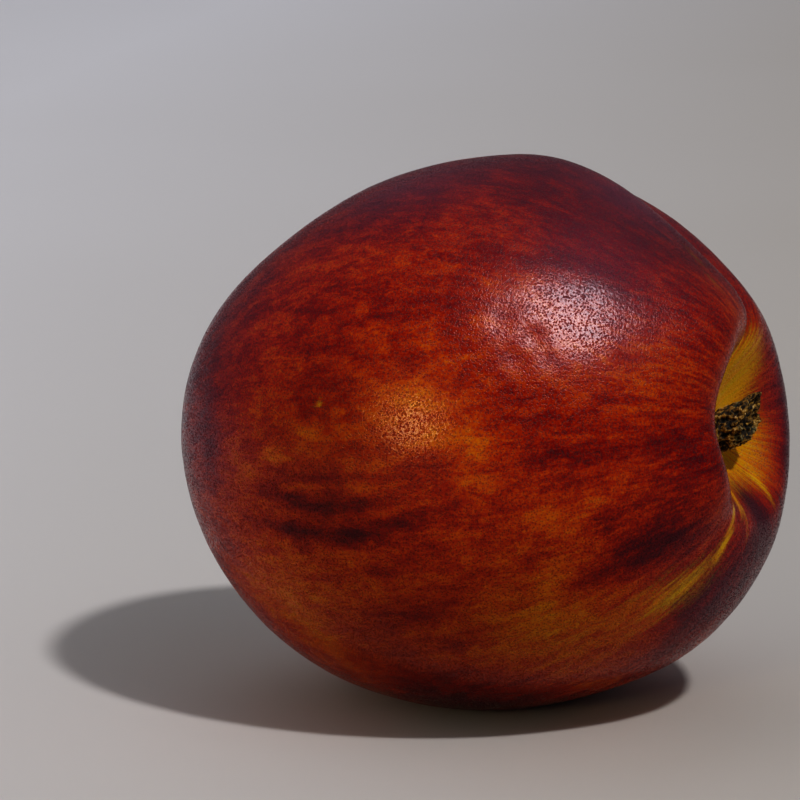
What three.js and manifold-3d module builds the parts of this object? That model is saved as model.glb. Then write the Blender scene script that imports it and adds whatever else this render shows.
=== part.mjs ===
// A ripe nectarine lying on its side, stem end towards +X, with the dried stub of its stalk.
// Millimetres, +Z up, resting on the plane z = 0.  The origin is the middle of the small flat spot
// the fruit rests on.
//
// The fruit is first shaped about its own axis: x runs from the tip to the stem end, the angle
// "around" is zero along the suture (the seam line), 180 degrees on the back.  It is then rolled
// about that axis, pitched stem end up, lowered onto the ground and cut flat where it rests.
import * as THREE from "three";
import { mergeVertices } from "three/addons/utils/BufferGeometryUtils.js";
import Module from "manifold-3d";

const DEG = Math.PI / 180;

// Body of the fruit, from its widest section to either end and out to each side.
const STEM_LENGTH = 37.7;
const TIP_LENGTH = 33.3;
const SUTURE_RADIUS = 31;
const BACK_RADIUS = 32.7;
const CHEEK_RADIUS = 33;
const STEM_FULLNESS = 1.85;
const TIP_FULLNESS = 2.17;
const EGG_TAPER = 0.048;

// Suture: the seam valley from the stem cavity over the top, fading out past the middle.
const SUTURE_DEPTH = 2.1;
const SUTURE_HALF_WIDTH = 0.12;
const SUTURE_END = 1.5;

// Shoulder beside the suture, a little flattened.
const SHOULDER_FLAT = 0.7;

// Short valley that leaves the cavity low on the near cheek.
const VALLEY_DEPTH = 1.5;
const VALLEY_AROUND = 2.72;
const VALLEY_HALF_WIDTH = 0.2;
const VALLEY_END = 0.75;

// Stem cavity.
const CAVITY_DEPTH = 9;
const CAVITY_RADIUS = 9;

// Low swellings and hollows: degrees from the stem end, degrees around, spread in radians, height.
const SWELLINGS = [
  [152, 92, 0.3, 0.35],
  [128, 28, 0.4, -1.4],
  [67, 5, 0.35, 2.3],
  [46, -18, 0.3, 0.3],
  [142, 165, 0.45, -0.4],
  [110, -170, 0.5, -0.6],
  [78, -158, 0.5, -0.5],
  [45, -150, 0.4, 1.4],
  [22, 48, 0.24, 1.2],
  [20, 97, 0.2, -0.8],
  [23, 126, 0.13, 1.1],
];

// Resting attitude, and how far the ground plane cuts into the round underside.
const ROLL = 19 * DEG;
const PITCH = 6.2 * DEG;
const REST_CUT = 0.75;

// Dried stub of the stalk, standing on the cavity floor.
const STUB_GAP = 0.45;
const STUB_RADIUS = 2.5;
const STUB_LENGTH = 3.3;
const STUB_RAGGED = 1.5;
const STUB_LEAN = 0.28;
const STUB_LOW = 1.1;

const ROWS = 50;
const COLUMNS = 66;

const skin = new THREE.MeshStandardMaterial({
  name: "skin", color: 0x7a2212, roughness: 0.4, metalness: 0,
});
const bark = new THREE.MeshStandardMaterial({
  name: "bark", color: 0x4a3018, roughness: 0.9, metalness: 0,
});

// Smooth hump of height one that dies away over the given spread.
function hump(distance, spread) {
  return Math.exp(-((distance / spread) ** 2));
}

// Difference of two angles, brought into -PI..PI.
function turn(angle) {
  return Math.atan2(Math.sin(angle), Math.cos(angle));
}

// Unit vector for an angle from the stem end and an angle around from the suture.
function direction(fromStem, around) {
  const out = Math.sin(fromStem);
  return new THREE.Vector3(Math.cos(fromStem), -out * Math.sin(around), out * Math.cos(around));
}

// Plain egg-like body before any detail.
function bodyPoint(fromStem, around) {
  const c = Math.cos(fromStem);
  const front = Math.cos(around) > 0 ? SUTURE_RADIUS : BACK_RADIUS;
  const radius = Math.hypot(Math.cos(around) * front, Math.sin(around) * CHEEK_RADIUS);
  const fullness = c > 0 ? STEM_FULLNESS : TIP_FULLNESS;
  const belly = (1 - Math.abs(c) ** fullness) ** (1 / fullness);
  const out = radius * belly * (1 + EGG_TAPER * c);
  const along = (c > 0 ? STEM_LENGTH : TIP_LENGTH) * c;
  return new THREE.Vector3(along, -out * Math.sin(around), out * Math.cos(around));
}

// Total height of the swellings at one point of the body.
function swelling(point) {
  let height = 0;
  for (const [fromStem, around, spread, size] of SWELLINGS) {
    const away = point.angleTo(direction(fromStem * DEG, around * DEG));
    height += size * hump(away, spread);
  }
  return height;
}

// How far the suture, the flattened shoulder and the back valley sink below the body.
function sinking(fromStem, around, out) {
  const open = 1 - hump(out, 8);
  const sutureFade = 1 / (1 + Math.exp((fromStem - SUTURE_END) / 0.25));
  const valleyFade = 1 / (1 + Math.exp((fromStem - VALLEY_END) / 0.12));
  const suture = SUTURE_DEPTH * hump(turn(around), SUTURE_HALF_WIDTH) * sutureFade * open;
  const shoulder = SHOULDER_FLAT * hump(turn(around - 0.2), 0.5) * hump(fromStem - 0.9, 0.5);
  const valley = VALLEY_DEPTH * hump(turn(around - VALLEY_AROUND), VALLEY_HALF_WIDTH);
  return suture + shoulder + valley * valleyFade * open;
}

// One point of the finished skin, in the fruit's own axes.
function skinPoint(fromStem, around) {
  const point = bodyPoint(fromStem, around);
  const length = point.length();
  point.multiplyScalar((length + swelling(point)) / length);
  const out = Math.hypot(point.y, point.z);
  const sunk = out - sinking(fromStem, around, out);
  const shrink = out > 1e-6 ? sunk / out : 1;
  point.y *= shrink;
  point.z *= shrink;
  if (fromStem < Math.PI / 2) {
    point.x -= CAVITY_DEPTH * Math.exp(-((Math.abs(sunk) / CAVITY_RADIUS) ** 3));
  }
  return point;
}

// Closed mesh from one point at each end and rings between them.
function closedFromRings(start, rings, end) {
  const around = rings[0].length;
  const points = [start, ...rings.flat(), end];
  const last = points.length - 1;
  const triangles = [];
  for (let j = 0; j < around; j++) {
    const k = (j + 1) % around;
    triangles.push(0, 1 + j, 1 + k);
    for (let i = 0; i < rings.length - 1; i++) {
      const a = 1 + i * around;
      const b = a + around;
      triangles.push(a + j, b + k, a + k);
      triangles.push(a + j, b + j, b + k);
    }
    const tail = 1 + (rings.length - 1) * around;
    triangles.push(last, tail + k, tail + j);
  }
  const geometry = new THREE.BufferGeometry();
  geometry.setFromPoints(points);
  geometry.setIndex(triangles);
  return geometry;
}

// Rows crowd together in the cavity and columns crowd together at the suture.
function fruitGeometry() {
  const rings = [];
  for (let i = 1; i < ROWS; i++) {
    const step = i / ROWS;
    const fromStem = Math.PI * (0.35 * step + 0.65 * step * step);
    const ring = [];
    for (let j = 0; j < COLUMNS; j++) {
      const t = (2 * Math.PI * j) / COLUMNS;
      ring.push(skinPoint(fromStem, t - 0.55 * Math.sin(t)));
    }
    rings.push(ring);
  }
  return closedFromRings(skinPoint(0, 0), rings, skinPoint(Math.PI, 0));
}

// Shredded edge of the broken end: long on one side, with a few splinters.
function raggedness(around) {
  const side = 0.5 + 0.5 * Math.cos(around + 0.7);
  const coarse = 0.22 * Math.cos(5 * around + 1.3) + 0.16 * Math.cos(9 * around);
  const splinters = coarse + 0.1 * Math.cos(14 * around);
  return STUB_RAGGED * (side + splinters);
}

// Ridged, slightly leaning stub with a dished, oblique break.
function stubGeometry() {
  const floor = skinPoint(0, 0).x + STUB_GAP;
  const count = 40;
  const levels = [0, 0.12, 0.3, 0.5, 0.7, 0.86, 0.95, 1];
  const rings = levels.map((level, i) => {
    const flare = 1 + 0.12 * hump(level, 0.2) - 0.1 * level;
    const round = i === 0 ? 0.7 : i === levels.length - 1 ? 0.86 : 1;
    const ring = [];
    for (let j = 0; j < count; j++) {
      const around = (2 * Math.PI * j) / count;
      const ridges = 1 + 0.07 * Math.cos(6 * around + 2 * level) + 0.05 * Math.cos(11 * around + 1);
      const out = STUB_RADIUS * flare * round * ridges;
      const along = level * STUB_LENGTH + level * level * raggedness(around);
      const height = out * Math.cos(around) + STUB_LEAN * along - STUB_LOW;
      ring.push(new THREE.Vector3(floor + along, -out * Math.sin(around), height));
    }
    return ring;
  });
  const root = new THREE.Vector3(floor, 0, -STUB_LOW);
  const pith = new THREE.Vector3(floor + STUB_LENGTH * 0.85, 0, STUB_LEAN * STUB_LENGTH - STUB_LOW);
  return closedFromRings(pith, rings.reverse(), root);
}

// Turn a shape from the fruit's own axes to the resting attitude.
function layDown(geometry) {
  geometry.applyMatrix4(new THREE.Matrix4().makeRotationX(-ROLL));
  geometry.applyMatrix4(new THREE.Matrix4().makeRotationY(-PITCH));
  return geometry;
}

function toManifold(wasm, geometry) {
  const clean = geometry.clone();
  clean.deleteAttribute("normal");
  clean.deleteAttribute("uv");
  const merged = mergeVertices(clean, 1e-4);
  const vertProperties = new Float32Array(merged.attributes.position.array);
  const triVerts = new Uint32Array(merged.index.array);
  return new wasm.Manifold(new wasm.Mesh({ numProp: 3, vertProperties, triVerts }));
}

function toGeometry(solid) {
  const mesh = solid.getMesh();
  const geometry = new THREE.BufferGeometry();
  geometry.setAttribute("position", new THREE.BufferAttribute(new Float32Array(mesh.vertProperties), 3));
  geometry.setIndex(new THREE.BufferAttribute(new Uint32Array(mesh.triVerts), 1));
  geometry.computeVertexNormals();
  return geometry;
}

// Middle of the flat spot left by the ground plane.
function restCentre(geometry) {
  const box = new THREE.Box3();
  const position = geometry.attributes.position;
  const point = new THREE.Vector3();
  for (let i = 0; i < position.count; i++) {
    point.fromBufferAttribute(position, i);
    if (Math.abs(point.z) < 1e-4) {
      box.expandByPoint(point);
    }
  }
  return box.getCenter(new THREE.Vector3());
}

function piece(name, geometry, material) {
  geometry.computeVertexNormals();
  const mesh = new THREE.Mesh(geometry, material);
  mesh.name = name;
  return mesh;
}

const wasm = await Module();
wasm.setup();

const wholeFruit = layDown(fruitGeometry());
wholeFruit.computeBoundingBox();
const drop = -wholeFruit.boundingBox.min.z - REST_CUT;
wholeFruit.translate(0, 0, drop);
const fruit = toGeometry(toManifold(wasm, wholeFruit).trimByPlane([0, 0, 1], 0));
const centre = restCentre(fruit);
fruit.translate(-centre.x, -centre.y, 0);
const stub = layDown(stubGeometry());
stub.translate(-centre.x, -centre.y, drop);

const nectarine = new THREE.Group();
nectarine.name = "nectarine";
nectarine.add(piece("fruit", fruit, skin));
nectarine.add(piece("stem_stub", stub, bark));

export default nectarine;
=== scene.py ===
import math

import bpy
import numpy as np
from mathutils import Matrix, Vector
from mathutils.noise import noise


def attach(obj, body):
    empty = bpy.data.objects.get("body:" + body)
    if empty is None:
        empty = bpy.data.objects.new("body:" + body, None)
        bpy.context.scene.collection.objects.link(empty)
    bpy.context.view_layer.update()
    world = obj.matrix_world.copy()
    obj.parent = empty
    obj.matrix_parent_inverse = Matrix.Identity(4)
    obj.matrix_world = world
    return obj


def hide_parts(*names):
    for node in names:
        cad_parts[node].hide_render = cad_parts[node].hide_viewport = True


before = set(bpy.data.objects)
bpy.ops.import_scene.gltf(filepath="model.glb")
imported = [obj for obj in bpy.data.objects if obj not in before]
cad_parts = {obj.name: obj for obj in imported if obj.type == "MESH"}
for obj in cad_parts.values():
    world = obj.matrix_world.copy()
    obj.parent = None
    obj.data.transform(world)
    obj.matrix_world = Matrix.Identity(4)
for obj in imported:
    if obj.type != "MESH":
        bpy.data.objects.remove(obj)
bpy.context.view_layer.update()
bpy.ops.object.select_all(action="DESELECT")

# ---------------------------------------------------------------------------------------------
# The fruit: one ripe nectarine, smooth waxy skin over soft flesh, grown as one body around its
# stone.  It lies on its side with the stem end towards +X, pitched a little up, and the suture
# over the top leans away.  Its form is the frame's; the skin gets its dents and its colour here.
# ---------------------------------------------------------------------------------------------
millimetre = 0.001
fruit_pitch = math.radians(6.2)
fruit_roll = math.radians(19)
fruit_middle = Vector((-0.00075, -0.00057, 0.03114))

stem_axis = Vector((math.cos(fruit_pitch), 0, math.sin(fruit_pitch)))
suture_way = Vector((
    -math.cos(fruit_roll) * math.sin(fruit_pitch),
    math.sin(fruit_roll),
    math.cos(fruit_roll) * math.cos(fruit_pitch),
))
side_way = suture_way.cross(stem_axis)


def on_skin(stem_angle, turn):
    """Unit direction from the fruit's middle, by degrees from the stem end and round from the suture."""
    a = math.radians(stem_angle)
    b = math.radians(turn)
    out = math.sin(a)
    return stem_axis * math.cos(a) - side_way * (out * math.sin(b)) + suture_way * (out * math.cos(b))


# The frame's fruit is copied, its loose triangles are merged into quads, and it is rounded.
merge_gap = 0.000002
rounding_levels = 2
bpy.context.view_layer.objects.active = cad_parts["fruit"]
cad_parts["fruit"].select_set(True)
bpy.ops.object.duplicate()
skin = bpy.context.object
skin.name = "nectarine_skin"
skin.data = skin.data.copy()
skin.data.name = "nectarine_skin"
bpy.ops.object.mode_set(mode="EDIT")
bpy.ops.mesh.select_all(action="SELECT")
bpy.ops.mesh.remove_doubles(threshold=merge_gap)
bpy.ops.mesh.tris_convert_to_quads(face_threshold=math.radians(50), shape_threshold=math.radians(80))
bpy.ops.object.mode_set(mode="OBJECT")
rounding = skin.modifiers.new("rounding", "SUBSURF")
rounding.levels = rounding_levels
rounding.render_levels = rounding_levels
bpy.ops.object.modifier_apply(modifier="rounding")
bpy.ops.object.shade_smooth()

# Where every point of the skin lies: degrees from the stem end and degrees round from the suture.
points = np.empty(len(skin.data.vertices) * 3)
skin.data.vertices.foreach_get("co", points)
points = points.reshape(-1, 3)
from_middle = points - np.array(fruit_middle)
outward = from_middle / np.linalg.norm(from_middle, axis=1, keepdims=True)
along = outward @ np.array(stem_axis)
up_seam = outward @ np.array(suture_way)
sideways = -(outward @ np.array(side_way))
from_stem = np.degrees(np.arccos(np.clip(along, -1, 1)))
around = np.degrees(np.arctan2(sideways, up_seam))


def near(place, spread):
    """How near each point of the skin is to a place, one at the place, as a smooth hump."""
    away = np.arccos(np.clip(outward @ np.array(on_skin(*place)), -1, 1))
    return np.exp(-((np.degrees(away) / spread) ** 2))


def toward(turn, spread):
    """How near each point lies to a direction around the fruit, as a smooth hump."""
    away = (around - turn + 180) % 360 - 180
    return np.exp(-((away / spread) ** 2))


def laid_on(washes, start=0.0):
    """Sum of washes over the skin; each has a place, a spread in degrees and an amount."""
    total = np.full(len(outward), start)
    for place, spread, amount in washes:
        total += amount * near(place, spread)
    return total


def path_distance(places):
    """Degrees from each point of the skin to a line through places, and how far along the line it is."""
    best = np.full(len(outward), 999.0)
    where = np.zeros(len(outward))
    for k in range(len(places) - 1):
        a = np.array(on_skin(*places[k]))
        b = np.array(on_skin(*places[k + 1]))
        t = np.clip(((outward - a) @ (b - a)) / ((b - a) @ (b - a)), 0, 1)
        away = np.degrees(np.linalg.norm(outward - (a + t[:, None] * (b - a)), axis=1))
        closer = away < best
        best = np.where(closer, away, best)
        where = np.where(closer, (k + t) / (len(places) - 1), where)
    return best, where


def stroke(places, width, end_width, fade_in, fade_out):
    """A soft brush stroke along places: full on the line, gone past its width, pale at faded ends."""
    away, where = path_distance(places)
    wide = width + (end_width - width) * where
    ink = np.exp(-((away / wide) ** 2))
    if fade_in:
        ink *= np.clip(where / fade_in, 0, 1)
    if fade_out:
        ink *= np.clip((1 - where) / fade_out, 0, 1)
    return ink


# Dents and knocks: place, spread in degrees, depth in millimetres.  Below zero it stands proud.
dents = [
    ((57, 79), 2.2, 0.30),
    ((60, 84), 2.6, 0.26),
    ((54, 84), 1.6, 0.14),
    ((63, 76), 3.0, 0.16),
    ((66, 52), 1.6, 0.30),
    ((63, 50), 1.2, -0.24),
    ((50, 70), 5.0, 0.12),
    ((73, 57), 5.0, 0.10),
    ((45, 58), 6.0, -0.10),
]
# Waves to the metre, and their height in millimetres.
flesh_waves = [(90, 0.10), (230, 0.045), (520, 0.02)]
resting_height = 0.004
push = -laid_on(dents)
for k in range(len(points)):
    here = Vector(points[k])
    push[k] += sum(height * noise(here * waves) for waves, height in flesh_waves)
# The flat spot stays flat: the skin moves fully only above the resting height.
free = np.clip(points[:, 2] / resting_height, 0, 1)
points = points + outward * (push * free * millimetre)[:, None]
skin.data.vertices.foreach_set("co", points.ravel())
skin.data.update()

# Blush: how much red pigment lies over the orange ground, from 0 to 1, laid on as broad washes,
# then as streaks that run with the fruit from stem to tip.  A few washes on the underside are
# painted shade.
plain_blush = 0.50
blush_and_shade_washes = [
    # Broad maroon of the top, the tip and the far side.
    ((75, 22), 34, 0.28),
    ((45, 25), 22, 0.24),
    ((115, 30), 34, 0.18),
    ((140, 80), 30, 0.20),
    ((165, 120), 30, 0.18),
    ((100, -70), 60, 0.22),
    ((64, 38), 12, -0.10),
    ((92, 48), 16, 0.10),
    ((48, 42), 7, -0.08),
    # Red and orange of the near cheek.
    ((92, 66), 22, -0.08),
    ((90, 80), 13, 0.10),
    ((95, 96), 8, 0.14),
    ((78, 92), 12, -0.18),
    ((60, 97), 7, 0.14),
    ((117, 90), 9, -0.12),
    ((100, 100), 14, -0.06),
    ((112, 108), 9, -0.12),
    ((68, 105), 5, -0.28),
    ((52, 107), 6, 0.06),
    ((32, 80), 10, -0.10),
    ((29, 63), 8, 0.10),
    ((49, 56), 13, 0.10),
    ((79, 69), 7, 0.13),
    ((86, 78), 6, 0.07),
    ((100, 92), 12, 0.09),
    ((56, 96), 8, 0.06),
    ((106, 105), 7, 0.10),
    ((85, 104), 5, 0.08),
    ((48, 107), 7, 0.06),
    ((31, 115), 8, 0.15),
    ((119, 113), 5, -0.14),
    ((80, 122), 8, 0.06),
    ((77, 96), 7, -0.06),
    ((97, 97), 6, -0.10),
    ((81, 57), 7, -0.05),
    # Brown and ochre of the lower cheek, and painted shade on the underside.
    ((118, 135), 10, -0.22),
    ((106, 140), 10, -0.16),
    ((60, 150), 14, -0.20),
    ((53, 117), 7, -0.10),
    ((87, 113), 5, -0.14),
    ((96, 142), 8, 0.08),
    # Painted shade: dark pigment on the underside, towards where the fruit rests.
    ((76, 172), 14, 0.22),
    ((90, 175), 16, 0.16),
    ((47, 169), 7, -0.28),
    ((29, 128), 6, -0.16),
    ((57, 138), 4, -0.12),
    ((60, 180), 8, -0.16),
    ((98, 142), 11, 0.12),
    # Painted shade: dark pigment low on the underside.
    ((88, 163), 12, 0.20),
    ((134, 104), 9, -0.16),
    ((62, 132), 6, 0.07),
    ((79, 122), 5, 0.06),
    ((95, 86), 6, 0.06),
    # Dark lobes round the cavity and the near valley.
    ((40, 136), 5, 0.10),
    ((24, 113), 9, 0.24),
    ((36, 168), 9, 0.30),
    ((28, -160), 16, 0.38),
    ((50, 178), 10, 0.20),
    ((34, -60), 16, 0.36),
    ((30, -100), 12, 0.30),
    # Orange ring where the far wall turns into the cavity.
    ((14, -85), 5, -0.24),
    ((14, -120), 6, -0.36),
    ((16, -48), 4, -0.16),
]
blush_and_shade = laid_on(blush_and_shade_washes, plain_blush)
# Dark band along the far rim of the cavity.
rim_angle = 22.5
rim_spread = 4.5
blush_and_shade += 0.60 * np.exp(-(((from_stem - rim_angle) / rim_spread) ** 2)) * toward(-84, 44)
# Each streak: its places, its width in degrees at the start and at the end, and its amount.
streak_fade = 0.25
streaks = [
    ([(124, 107), (105, 112), (92, 113), (76, 110)], 2.2, 2.4, 0.38),
    ([(126, 115), (108, 118), (95, 119), (82, 116), (66, 112)], 2.0, 1.8, 0.40),
    ([(118, 104), (104, 107), (90, 108)], 1.0, 0.9, 0.18),
    ([(114, 102), (106, 103), (99, 102)], 1.0, 0.8, -0.20),
    ([(110, 109), (103, 110), (97, 110)], 0.8, 0.7, -0.22),
    ([(104, 98), (97, 99)], 1.2, 0.9, -0.20),
    ([(94, 104), (86, 105), (80, 104)], 0.9, 0.8, -0.20),
    ([(100, 106), (88, 107), (74, 105), (60, 104)], 1.3, 1.0, 0.20),
    ([(74, 108), (62, 107), (50, 105), (38, 104)], 1.2, 1.8, 0.16),
    ([(60, 112), (48, 110), (36, 108)], 2.6, 3.4, 0.12),
    ([(58, 97), (48, 98), (36, 98)], 1.6, 2.0, 0.12),
    ([(90, 122), (78, 118)], 1.2, 0.8, 0.20),
    ([(104, 128), (92, 127), (80, 124)], 1.4, 1.0, 0.16),
    ([(97, 136), (86, 137), (74, 134)], 2.4, 2.0, 0.18),
    ([(84, 146), (70, 142)], 3.0, 2.4, 0.14),
    ([(86, 84), (76, 85)], 3.2, 2.6, 0.12),
    ([(104, 93), (98, 92)], 3.0, 3.0, 0.12),
    ([(132, 88), (126, 112)], 3.6, 3.2, 0.22),
    ([(24, 136), (32, 137), (40, 137), (50, 138), (59, 141)], 5.0, 2.6, 0.36),
    ([(42, 126), (52, 124)], 2.4, 1.6, 0.14),
    ([(12, -168), (18, -164), (26, -168)], 2.0, 3.0, 0.34),
]
for places, width, end_width, amount in streaks:
    blush_and_shade += amount * stroke(places, width, end_width, streak_fade, streak_fade)

# Ground: where the yellow under the blush shows.  It fills the cavity, further out at some turns
# than at others, and runs on as strokes: their places, two widths, amount, and two fades.
reach = 13.0 + 6.0 * toward(-12, 30) + 3.0 * toward(-116, 42) + 4.0 * toward(152, 22)
cavity_yellow = 0.95 - 0.22 * toward(-118, 44)
yellow_strokes = [
    # Down the near valley, widening; its slow fade-in from the cavity is painted shade in the fold.
    ([(17, 155), (22, 159), (28, 163), (36, 160), (45, 157), (57, 157)], 0.7, 9.5, 0.78, 0.8, 0.4),
    # Thin marks that cross the rim of the cavity.
    ([(19, 157), (24, 161), (30, 164)], 0.9, 0.8, 0.55, 0.0, 0.4),
    ([(17, 172), (24, 176)], 0.8, 0.8, 0.4, 0.0, 0.4),
    ([(11, 165), (15, 166), (22, 168)], 1.0, 0.9, 0.6, 0.0, 0.3),
    ([(14, -132), (17, -138), (20, -142)], 0.8, 0.6, 0.4, 0.0, 0.3),
    # A faint mark on the shoulder.
    ([(42, 14), (34, 21), (27, 31), (22, 35)], 1.4, 1.8, 0.30, 0.3, 0.3),
]
yellow = cavity_yellow * np.exp(-((from_stem / reach) ** 6))
for places, width, end_width, amount, fade_in, fade_out in yellow_strokes:
    yellow += amount * stroke(places, width, end_width, fade_in, fade_out)
# One small pale speck on the near cheek.
yellow += 0.5 * near((98, 93), 1.3)
yellow = np.clip(yellow, 0, 1)

# Bronze: the browner, duller tone of the lower near cheek, partly its own brown and partly painted
# shade that darkens the underside.
bronze_and_shade_washes = [
    ((82, 150), 30, 0.75),
    ((104, 140), 18, 0.45),
    ((60, 138), 14, 0.35),
    ((100, 103), 18, 0.75),
]
bronze_and_shade = np.clip(laid_on(bronze_and_shade_washes), 0, 1)

# Painted sheen: a faint mauve veil standing for the pale surround mirrored in the skin, on the
# upper side, the two ends, the left edge and round the shoulder highlight, thicker in a few places.
thickest_painted_sheen = 1.3
painted_sheen_washes = [
    ((72, 5), 40, 0.75),
    ((132, 60), 28, 0.65),
    ((34, 178), 16, 0.5),
    ((34, -70), 28, 0.5),
    ((133, 100), 14, 0.5),
    ((48, 56), 15, 0.75),
    ((50, 14), 11, 0.7),
    ((93, 38), 16, 0.7),
]
painted_sheen = np.clip(laid_on(painted_sheen_washes), 0, thickest_painted_sheen) * (1 - yellow)

for name, values in (("blush_and_shade", blush_and_shade), ("yellow", yellow), ("bronze_and_shade", bronze_and_shade), ("painted_sheen", painted_sheen)):
    layer = skin.data.attributes.new(name, "FLOAT", "POINT")
    layer.data.foreach_set("value", values.astype(np.float32))


class Finish:
    """A material, with short calls for building it up from nodes."""

    def __init__(self, name):
        self.material = bpy.data.materials.new(name)
        self.material.use_nodes = True
        self.tree = self.material.node_tree
        self.surface = self.tree.nodes["Principled BSDF"]

    def add(self, kind, inputs=None, **settings):
        """A new node, set up, with a value or a link on each of the given inputs."""
        node = self.tree.nodes.new("ShaderNode" + kind)
        for key, value in settings.items():
            setattr(node, key, value)
        for key, value in (inputs or {}).items():
            self.join(value, node.inputs[key])
        return node

    def join(self, value, socket):
        """Link another socket to this one, or set a plain value on it."""
        if isinstance(value, bpy.types.NodeSocket):
            self.tree.links.new(value, socket)
        else:
            socket.default_value = value

    def math(self, operation, a, b=0.0):
        return self.add("Math", {0: a, 1: b}, operation=operation).outputs[0]

    def plus(self, a, b):
        return self.math("ADD", a, b)

    def times(self, a, b):
        return self.math("MULTIPLY", a, b)

    def swing(self, value, amount):
        """How far a value lies above or below one half, times an amount."""
        return self.times(self.math("SUBTRACT", value, 0.5), amount)

    def vector(self, operation, a, b):
        node = self.add("VectorMath", {0: a, 1: b}, operation=operation)
        return node.outputs["Value" if operation == "DOT_PRODUCT" else "Vector"]

    def noise(self, vector, scale, detail=2.0, roughness=0.5, distortion=0.0):
        inputs = {
            "Vector": vector,
            "Scale": scale,
            "Detail": detail,
            "Roughness": roughness,
            "Distortion": distortion,
        }
        return self.add("TexNoise", inputs).outputs[0]

    def span(self, value, low, high, to_low=0.0, to_high=1.0, smooth=False):
        """The value carried from the range low..high to the range to_low..to_high, held at its ends."""
        inputs = {0: value, 1: low, 2: high, 3: to_low, 4: to_high}
        kind = "SMOOTHSTEP" if smooth else "LINEAR"
        return self.add("MapRange", inputs, interpolation_type=kind).outputs[0]

    def mix(self, factor, a, b, blend="MIX"):
        """Two colours mixed.  A Mix node's colours are its inputs 6 and 7 and its output 2."""
        node = self.add("Mix", data_type="RGBA", blend_type=blend)
        self.join(factor, node.inputs["Factor"])
        self.join(a, node.inputs[6])
        self.join(b, node.inputs[7])
        return node.outputs[2]

    def ramp(self, factor, stops):
        """Colours along a value, each stop a position and a colour."""
        node = self.add("ValToRGB", {0: factor})
        elements = node.color_ramp.elements
        while len(elements) < len(stops):
            elements.new(0.5)
        for element, (place, colour) in zip(elements, stops):
            element.position = place
            element.color = (*colour, 1)
        return node.outputs[0]

    def measured(self, name):
        """A value laid on the mesh point by point."""
        return self.add("Attribute", attribute_name=name).outputs["Fac"]

    def even(self, values):
        """Values that are the same all over, set on the surface's own sockets."""
        for socket, value in values.items():
            self.surface.inputs[socket].default_value = value


# Places on the peel in the fruit's own directions.  The girth is kept off zero so that it divides.
least_girth = 0.0002
peel = Finish("nectarine_peel")
peel_place = peel.add("TexCoord").outputs["Object"]
centred = peel.vector("SUBTRACT", peel_place, tuple(fruit_middle))
stemward = peel.vector("DOT_PRODUCT", centred, tuple(stem_axis))
seamward = peel.vector("DOT_PRODUCT", centred, tuple(suture_way))
cheekward = peel.vector("DOT_PRODUCT", centred, tuple(side_way))
girth = peel.math("SQRT", peel.plus(peel.times(seamward, seamward), peel.times(cheekward, cheekward)))
girth = peel.math("MAXIMUM", girth, least_girth)
turn_seam = peel.math("DIVIDE", seamward, girth)
turn_cheek = peel.math("DIVIDE", cheekward, girth)
length_way = peel.math("ARCTAN2", girth, stemward)


def strand_field(across, lengthwise):
    """Coordinates stretched along the fruit, so that a pattern runs from stem to tip."""
    parts = {
        0: peel.times(turn_seam, across),
        1: peel.times(turn_cheek, across),
        2: peel.times(length_way, lengthwise),
    }
    return peel.add("CombineXYZ", parts).outputs[0]


def centred_wash(value, low, high, amount):
    """A wash with fairly crisp edges, half of it adding pigment and half taking it away."""
    return peel.swing(peel.span(value, low, high, smooth=True), amount)


# The pigment's mottling, from broad blotches to a fine stipple.
blotches = peel.noise(strand_field(4.0, 2.6), 1.0, detail=5.0, roughness=0.62, distortion=0.5)
flecks = peel.noise(strand_field(13.0, 7.5), 1.0, detail=5.0, roughness=0.62, distortion=0.5)
flakes = peel.noise(strand_field(25.0, 12.0), 1.0, detail=4.0, roughness=0.62, distortion=0.8)
strands = peel.noise(strand_field(34.0, 4.2), 1.0, detail=3.0, roughness=0.55, distortion=0.5)
patches = peel.noise(peel_place, 240.0, detail=4.0, roughness=0.6, distortion=0.4)
stipple = peel.noise(peel_place, 3400.0, detail=2.0, roughness=0.65)
mottle = 0.0
for pattern, low, high, amount in (
    (blotches, 0.28, 0.72, 0.15),
    (flecks, 0.42, 0.58, 0.14),
    (flakes, 0.45, 0.56, 0.11),
    (strands, 0.30, 0.70, 0.09),
    (patches, 0.32, 0.68, 0.06),
    (stipple, 0.20, 0.80, 0.26),
):
    mottle = peel.plus(mottle, centred_wash(pattern, low, high, amount))

# It is calmer where the skin is bronzed and painted darker, and at both ends, where the strands
# run together.
bronzed_and_shaded = peel.measured("bronze_and_shade")
mottle = peel.times(mottle, peel.span(bronzed_and_shaded, 0.0, 1.0, to_low=1.0, to_high=0.5))
mottle = peel.times(mottle, peel.span(girth, 0.001, 0.014, to_low=0.3, to_high=1.0))
pigment_and_shade = peel.plus(peel.measured("blush_and_shade"), mottle)

# Pigment over the flesh, with the painted shade of the underside: orange where there is little,
# then red, then a dark maroon.
blushed_and_shaded = peel.ramp(pigment_and_shade, [
    (0.00, (0.54, 0.200, 0.0030)),
    (0.20, (0.49, 0.115, 0.0022)),
    (0.38, (0.42, 0.056, 0.0020)),
    (0.54, (0.32, 0.021, 0.0020)),
    (0.70, (0.200, 0.0080, 0.0036)),
    (0.86, (0.112, 0.0055, 0.0080)),
    (1.00, (0.064, 0.0044, 0.0100)),
])

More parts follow.
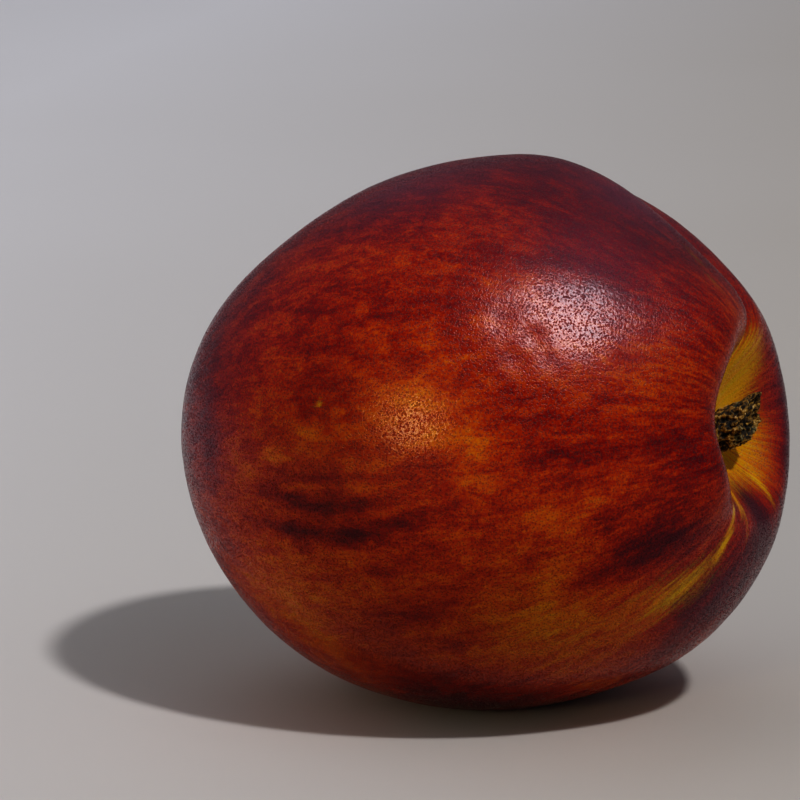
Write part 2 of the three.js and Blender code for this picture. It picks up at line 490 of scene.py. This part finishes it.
# The yellow ground, orange to greenish from strand to strand, with a brushed edge.
under = peel.noise(strand_field(24.0, 3.0), 1.0, detail=4.0, roughness=0.6)
ground = peel.ramp(under, [
    (0.30, (0.68, 0.230, 0.001)),
    (0.50, (0.63, 0.330, 0.001)),
    (0.70, (0.54, 0.350, 0.001)),
])
showing = peel.plus(peel.measured("yellow"), centred_wash(strands, 0.25, 0.75, 0.30))
showing = peel.plus(showing, centred_wash(stipple, 0.2, 0.8, 0.2))
showing = peel.span(showing, 0.20, 0.90, smooth=True)
coloured = peel.mix(showing, blushed_and_shaded, ground)

# Bronze turns the colour browner and darker, partly as painted shade, and the painted sheen lies
# over it as a thin mauve veil.
bronze_and_shade_tint = (0.76, 1.30, 0.55, 1)
painted_sheen_mauve = (0.200, 0.064, 0.112, 1)
painted_sheen_veil = 0.42
coloured = peel.mix(bronzed_and_shaded, coloured, peel.mix(1.0, coloured, bronze_and_shade_tint, "MULTIPLY"))
coloured = peel.mix(peel.times(peel.measured("painted_sheen"), painted_sheen_veil), coloured, painted_sheen_mauve)

# Pores: dark points about a quarter of a millimetre apart, faint where the yellow shows.  The skin
# between them is a little lighter, which keeps the tone of the whole.
pores_to_the_metre = 3700.0
between_tone = 1.09
pore_cells = {"Vector": peel_place, "Scale": pores_to_the_metre, "Randomness": 0.85}
from_pore = peel.add("TexVoronoi", pore_cells).outputs["Distance"]
between_pores = peel.span(from_pore, 0.22, 0.52, smooth=True)
in_pore = peel.math("SUBTRACT", 1.0, between_pores)
pore_dark = peel.times(in_pore, peel.span(showing, 0.0, 1.0, to_low=0.50, to_high=0.08))
tone = peel.math("SUBTRACT", between_tone, pore_dark)
pore_grey = peel.add("CombineColor", {0: tone, 1: tone, 2: tone}).outputs[0]
coloured = peel.mix(1.0, coloured, pore_grey, "MULTIPLY")
peel.join(coloured, peel.surface.inputs["Base Color"])

# Waxy and smooth between the pores, rough in them, with broad duller patches.
roughness = peel.plus(0.11, peel.times(patches, 0.16))
roughness = peel.plus(roughness, peel.times(in_pore, 0.7))
peel.join(roughness, peel.surface.inputs["Roughness"])
peel.even({
    "IOR": 1.42,
    "Specular IOR Level": 0.26,
    "Specular Tint": (0.90, 0.92, 0.95, 1),
    "Sheen Weight": 0.02,
    "Sheen Roughness": 0.35,
    "Sheen Tint": (0.9, 0.8, 0.85, 1),
})

# Fine relief: pits at the pores and a leathery net between them.
relief_depth = 0.00006
net = peel.noise(peel_place, 3000.0, detail=2.0, roughness=0.6)
relief = peel.plus(peel.times(between_pores, 0.45), net)
grain = peel.add("Bump", {"Strength": 0.6, "Distance": relief_depth, "Height": relief})
peel.join(grain.outputs[0], peel.surface.inputs["Normal"])

skin.data.materials.clear()
skin.data.materials.append(peel.material)
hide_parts("fruit")
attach(skin, "root")

# ---------------------------------------------------------------------------------------------
# The stalk stub: what is left of the stalk where it tore off, a plug of dry fibrous wood and bark
# about half a centimetre long, grown on the floor of the stem cavity and frayed at its broken end.
# ---------------------------------------------------------------------------------------------
stub_radius = 0.00245
stub_first = 0.0006
stub_rise = 0.00048
stub_steps = 7
stub_sides = 28
stub_lean = 0.28
break_rim = 0.0005
break_depth = 0.0005
break_pith = 0.0008

# The root is the middle of the foot of the frame's own stub.
foot_height = 0.0002
cad_stub = [Vector(v.co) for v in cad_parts["stem_stub"].data.vertices]
stub_floor = min(v.dot(stem_axis) for v in cad_stub)
stub_foot = [v for v in cad_stub if v.dot(stem_axis) < stub_floor + foot_height]
stub_root = sum(stub_foot, Vector()) / len(stub_foot)

bpy.ops.object.select_all(action="DESELECT")
bpy.ops.mesh.primitive_cylinder_add(
    vertices=stub_sides,
    radius=stub_radius,
    depth=stub_first,
    location=stub_root + stem_axis * (stub_first / 2),
    rotation=(0, math.pi / 2 - fruit_pitch, 0),
)
stub = bpy.context.object
stub.name = "stalk_stub"
bpy.ops.object.transform_apply(location=True, rotation=True, scale=True)
bpy.ops.object.mode_set(mode="EDIT")
bpy.ops.mesh.select_all(action="DESELECT")
bpy.ops.mesh.select_mode(type="FACE")
bpy.ops.object.mode_set(mode="OBJECT")
for face in stub.data.polygons:
    face.select = face.normal.dot(stem_axis) > 0.9
bpy.ops.object.mode_set(mode="EDIT")
for step in range(stub_steps):
    bpy.ops.mesh.extrude_region_move(TRANSFORM_OT_translate={"value": tuple(stem_axis * stub_rise)})
bpy.ops.mesh.inset(thickness=break_rim)
bpy.ops.mesh.extrude_region_move(TRANSFORM_OT_translate={"value": tuple(stem_axis * -break_depth)})
bpy.ops.mesh.inset(thickness=break_pith)
bpy.ops.mesh.poke()
bpy.ops.mesh.select_all(action="DESELECT")
bpy.ops.object.mode_set(mode="OBJECT")


def stub_place(point):
    """Height over the foot, turn from the suture side and radius; lengths in millimetres."""
    out = point - stub_root
    height = out.dot(stem_axis)
    across = -out.dot(side_way)
    upward = out.dot(suture_way)
    return height * 1000, math.atan2(across, upward), math.hypot(across, upward) * 1000


def stub_point(height, turn, radius):
    """The point at a height, turn and radius, as stub_place gives them."""
    out = suture_way * (radius * math.cos(turn)) - side_way * (radius * math.sin(turn))
    return stub_root + (stem_axis * height + out) * millimetre


# Torn form, in millimetres: ribs of wood, splinters, and a break that runs up to one long tongue
# with a spur that sticks out.
tear_height = 4.0
tongue_rise = 1.1
splinter_rise = 0.9
spur_rise = 0.5
spur_reach = 1.1
for vertex in stub.data.vertices:
    height, turn, radius = stub_place(vertex.co)
    upper = max(0.0, height / tear_height) ** 2
    tongue = 0.5 + 0.5 * math.cos(turn + 0.6)
    spur = math.exp(-(((turn + 0.1) / 0.35) ** 2)) * upper
    coarse = 0.24 * math.cos(5 * turn + 1.3) + 0.17 * math.cos(9 * turn)
    splinters = coarse + 0.16 * math.cos(14 * turn + 0.6)
    tall = height + upper * (tongue_rise * tongue + splinter_rise * splinters - 0.2) + spur_rise * spur
    ribs = 1 + 0.08 * math.cos(6 * turn + 0.5 * height) + 0.06 * math.cos(11 * turn + 1)
    thin = 1 - 0.20 * upper * (1 - tongue)
    vertex.co = stub_point(tall, turn, radius * ribs * thin + spur_reach * spur)

smoothing_levels = 3
smoothing = stub.modifiers.new("smoothing", "SUBSURF")
smoothing.levels = smoothing_levels
smoothing.render_levels = smoothing_levels
bpy.ops.object.modifier_apply(modifier="smoothing")

# Bark: plates and furrows along the stub and crumbs over them, in millimetres, fading out at the
# foot.  The whole stub leans.
plate_height = 0.24
crumb_height = 0.20
grit_height = 0.08
foot_fade = 0.7
furrow_painted_shade = []
for vertex in stub.data.vertices:
    height, turn, radius = stub_place(vertex.co)
    round_place = Vector((math.cos(turn) * radius, math.sin(turn) * radius, height))
    plate_place = Vector((round_place.x * 1.5, round_place.y * 1.5, height * 0.75))
    plates = 1 - 2.2 * abs(noise(plate_place + Vector((3, 7, 1))))
    crumbs = noise(round_place * 2.9 + Vector((9, 2, 5)))
    grit = noise(round_place * 6.5)
    bark_relief = plate_height * plates + crumb_height * crumbs + grit_height * grit
    footed = min(1.0, height / foot_fade)
    # A tone from the relief, for painted shade in the furrows and painted light on the ridges.
    furrow_painted_shade.append(0.25 + 1.3 * bark_relief)
    rough_radius = max(0.0, radius + (bark_relief - 0.16) * footed)
    rough_height = height + 0.25 * crumbs * footed
    lean = suture_way * (stub_lean * height * millimetre)
    vertex.co = stub_point(rough_height, turn, rough_radius) + lean
layer = stub.data.attributes.new("furrow_painted_shade", "FLOAT", "POINT")
layer.data.foreach_set("value", furrow_painted_shade)
bpy.ops.object.shade_smooth()

# Dry bark's browns, darkened to nearly black in the furrows as painted shade and lightened to straw
# on the ridges as painted light, and greyish olive in patches.
bark = Finish("dry_bark")
bark_place = bark.add("TexCoord").outputs["Object"]
crust = bark.noise(bark_place, 1100.0, detail=4.0, roughness=0.7, distortion=0.6)
lichen = bark.noise(bark_place, 700.0, detail=3.0, roughness=0.6)
crumb = bark.noise(bark_place, 3800.0, detail=2.0, roughness=0.6)
bark_tone_and_shade = bark.plus(bark.measured("furrow_painted_shade"), bark.swing(crust, 1.1))
bark_tone_and_shade = bark.plus(bark_tone_and_shade, bark.swing(crumb, 0.7))
wood = bark.ramp(bark_tone_and_shade, [
    (0.16, (0.006, 0.004, 0.002)),
    (0.36, (0.040, 0.020, 0.005)),
    (0.52, (0.220, 0.115, 0.014)),
    (0.68, (0.480, 0.290, 0.060)),
    (0.86, (0.760, 0.600, 0.380)),
])
olive = bark.ramp(bark_tone_and_shade, [
    (0.20, (0.007, 0.007, 0.004)),
    (0.48, (0.070, 0.064, 0.024)),
    (0.78, (0.420, 0.380, 0.220)),
])
bark_colour = bark.mix(bark.span(lichen, 0.52, 0.68, smooth=True), wood, olive)
bark.join(bark_colour, bark.surface.inputs["Base Color"])
bark.even({"Roughness": 0.85, "Specular IOR Level": 0.25})
bark_height = bark.plus(crust, bark.times(crumb, 0.5))
bark_grain = bark.add("Bump", {"Strength": 0.8, "Distance": 0.00012, "Height": bark_height})
bark.join(bark_grain.outputs[0], bark.surface.inputs["Normal"])
stub.data.materials.append(bark.material)
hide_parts("stem_stub")
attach(stub, "root")

# ---------------------------------------------------------------------------------------------
# The floor: a pale matt cloth laid flat, on which the fruit lies.  It is not part of the object.
# Painted light makes it paler and bluer towards the left and a little towards the front, and
# painted shade leaves it greyer and warmer on the right.
# ---------------------------------------------------------------------------------------------
floor_size = 6.0
bpy.ops.mesh.primitive_plane_add(size=floor_size, location=(0, 0, 0))
floor = bpy.context.object
floor.name = "floor"
# Painted shade on the right of the cloth, painted light on the left.
cloth_shaded_right = (0.55, 0.53, 0.52)
cloth_lit_left = (0.75, 0.755, 0.81)
painted_light_way = (-1.95, -0.51, 0.0)
cloth = Finish("pale_floor")
cloth_place = cloth.add("TexCoord").outputs["Object"]
cloth_clouds = cloth.swing(cloth.noise(cloth_place, 3.0, detail=2.0), 0.3)
painted_light_falloff = cloth.span(cloth.vector("DOT_PRODUCT", cloth_place, painted_light_way), -0.05, 0.40)
cloth_colour = cloth.ramp(cloth.plus(cloth_clouds, painted_light_falloff), [(0.0, cloth_shaded_right), (1.0, cloth_lit_left)])
cloth.join(cloth_colour, cloth.surface.inputs["Base Color"])
cloth.even({"Roughness": 0.9, "Specular IOR Level": 0.2})
floor.data.materials.append(cloth.material)

# ---------------------------------------------------------------------------------------------
# Light: a key from the upper right and a little in front, a weak fill high behind and another low
# on the left, and a small warm lamp low in front.  Three more are only mirrored in the skin: they
# give the pale highlight on the shoulder and the warm one on the near cheek.  The surround is dim.
# ---------------------------------------------------------------------------------------------
scene = bpy.context.scene
aim = Vector((-0.00075, -0.00057, 0.03125))


def lamp(name, azimuth, elevation, distance, size, power, colour, diffuse=True, glossy=True):
    """A round lamp turned to the fruit; degrees from +X and over the floor, metres and watts."""
    data = bpy.data.lights.new(name, "AREA")
    data.shape = "DISK"
    data.size = size
    data.energy = power
    data.color = colour
    item = bpy.data.objects.new(name, data)
    scene.collection.objects.link(item)
    item.visible_diffuse = diffuse
    item.visible_glossy = glossy
    a = math.radians(azimuth)
    e = math.radians(elevation)
    way = Vector((math.cos(a) * math.cos(e), math.sin(a) * math.cos(e), math.sin(e)))
    item.location = aim + way * distance
    item.rotation_mode = "QUATERNION"
    item.rotation_quaternion = way.to_track_quat("Z", "Y")


lamp("key", -30, 52, 6.0, 0.40, 132.0, (1.0, 0.97, 0.93), glossy=False)
lamp("key_glint", -28, 57, 6.0, 0.40, 10.0, (0.95, 0.97, 1.0), diffuse=False)
lamp("window", -31, 57, 1.0, 0.54, 13.0, (0.93, 0.97, 1.0), diffuse=False)
lamp("front", -96, 13, 1.0, 0.20, 1.0, (1.0, 0.82, 0.50))
lamp("front_glint", -98, 13, 1.0, 0.34, 1.9, (1.0, 0.80, 0.30), diffuse=False)
lamp("sky", 150, 60, 2.0, 2.4, 4.4, (0.96, 0.97, 1.0), glossy=False)
lamp("low_left", -140, 25, 2.0, 2.0, 3.4, (1.0, 0.97, 0.94), glossy=False)

world = bpy.data.worlds.new("surround")
world.use_nodes = True
background = world.node_tree.nodes["Background"]
background.inputs["Color"].default_value = (0.52, 0.52, 0.55, 1)
background.inputs["Strength"].default_value = 0.20
scene.world = world

# ---------------------------------------------------------------------------------------------
# The camera: low, at the stem-end quarter, as one looks at fruit on a table.  It faces the near
# cheek, and the stem cavity with its stub shows at the right.
# ---------------------------------------------------------------------------------------------
camera_azimuth = math.radians(22)
camera_elevation = math.radians(11)
camera_distance = 0.485
back = Vector((
    math.sin(camera_azimuth) * math.cos(camera_elevation),
    -math.cos(camera_azimuth) * math.cos(camera_elevation),
    math.sin(camera_elevation),
))
camera_data = bpy.data.cameras.new("camera")
camera_data.sensor_width = 36
camera_data.lens = 189.2
camera_data.shift_x = -0.0929
camera_data.shift_y = 0.039
camera_data.clip_start = 0.01
camera = bpy.data.objects.new("camera", camera_data)
scene.collection.objects.link(camera)
camera.location = aim + back * camera_distance
camera.rotation_mode = "QUATERNION"
camera.rotation_quaternion = (-back).to_track_quat("-Z", "Y")
scene.camera = camera
scene.view_settings.view_transform = "Standard"
scene.view_settings.look = "High Contrast"
scene.view_settings.exposure = 0.12
